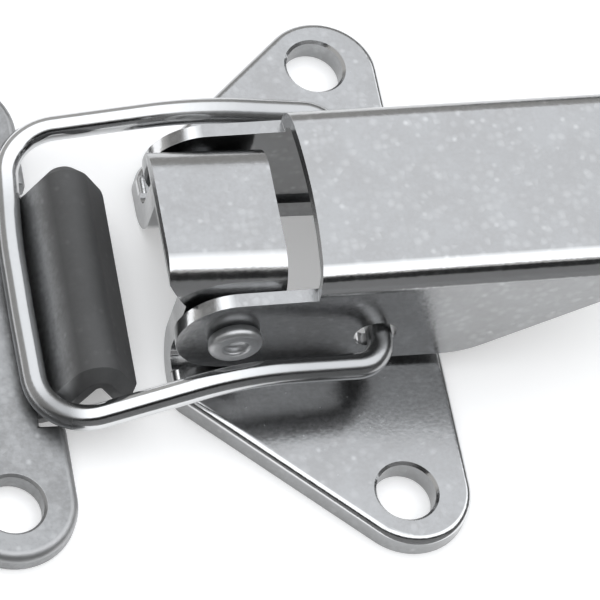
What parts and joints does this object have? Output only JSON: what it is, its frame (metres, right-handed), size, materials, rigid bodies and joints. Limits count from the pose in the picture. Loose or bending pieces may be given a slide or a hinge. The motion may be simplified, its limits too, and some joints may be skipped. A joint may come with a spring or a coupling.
{
  "type": "over centre toggle latch",
  "caption": "Over-centre toggle latch: a kite-winged base bracket, a riveted channel lever, a sprung wire bail and a screw-on strike plate with a folded hook, shown closed.",
  "frame": {"origin": "midway between the base bracket's two screw holes, on the mounting surface", "axes": "+X from the strike plate towards the lever's finger tab, +Z out of the mounting surface, +Y along the line of the screw holes"},
  "size_m": [0.058, 0.0428, 0.0154],
  "materials": {
    "base_steel": "satin",
    "rivet_steel": "satin",
    "lever_steel": "satin",
    "wire_steel": "polished",
    "strike_steel": "satin"
  },
  "bodies": {
    "base": {"base_bracket": "base_steel", "pivot_rivet_near": "rivet_steel", "pivot_rivet_far": "rivet_steel", "strike_plate": "strike_steel"},
    "lever": {"lever": "lever_steel"},
    "bail": {"wire_bail": "wire_steel"}
  },
  "joints": [
    {"name": "lever_pivot", "type": "hinge", "parent": "base", "child": "lever", "pos_m": [-0.01133, 0, 0.00615], "axis": [0, -1, 0], "range_deg": [0, 130]},
    {"name": "bail_swing", "type": "hinge", "parent": "lever", "child": "bail", "pos_m": [-0.00119, 0, 0.00559], "axis": [0, -1, 0], "range_deg": [-130, 0]}
  ],
  "couplings": [
    {"joint": "bail_swing", "follows": "lever_pivot", "ratio": -1}
  ]
}
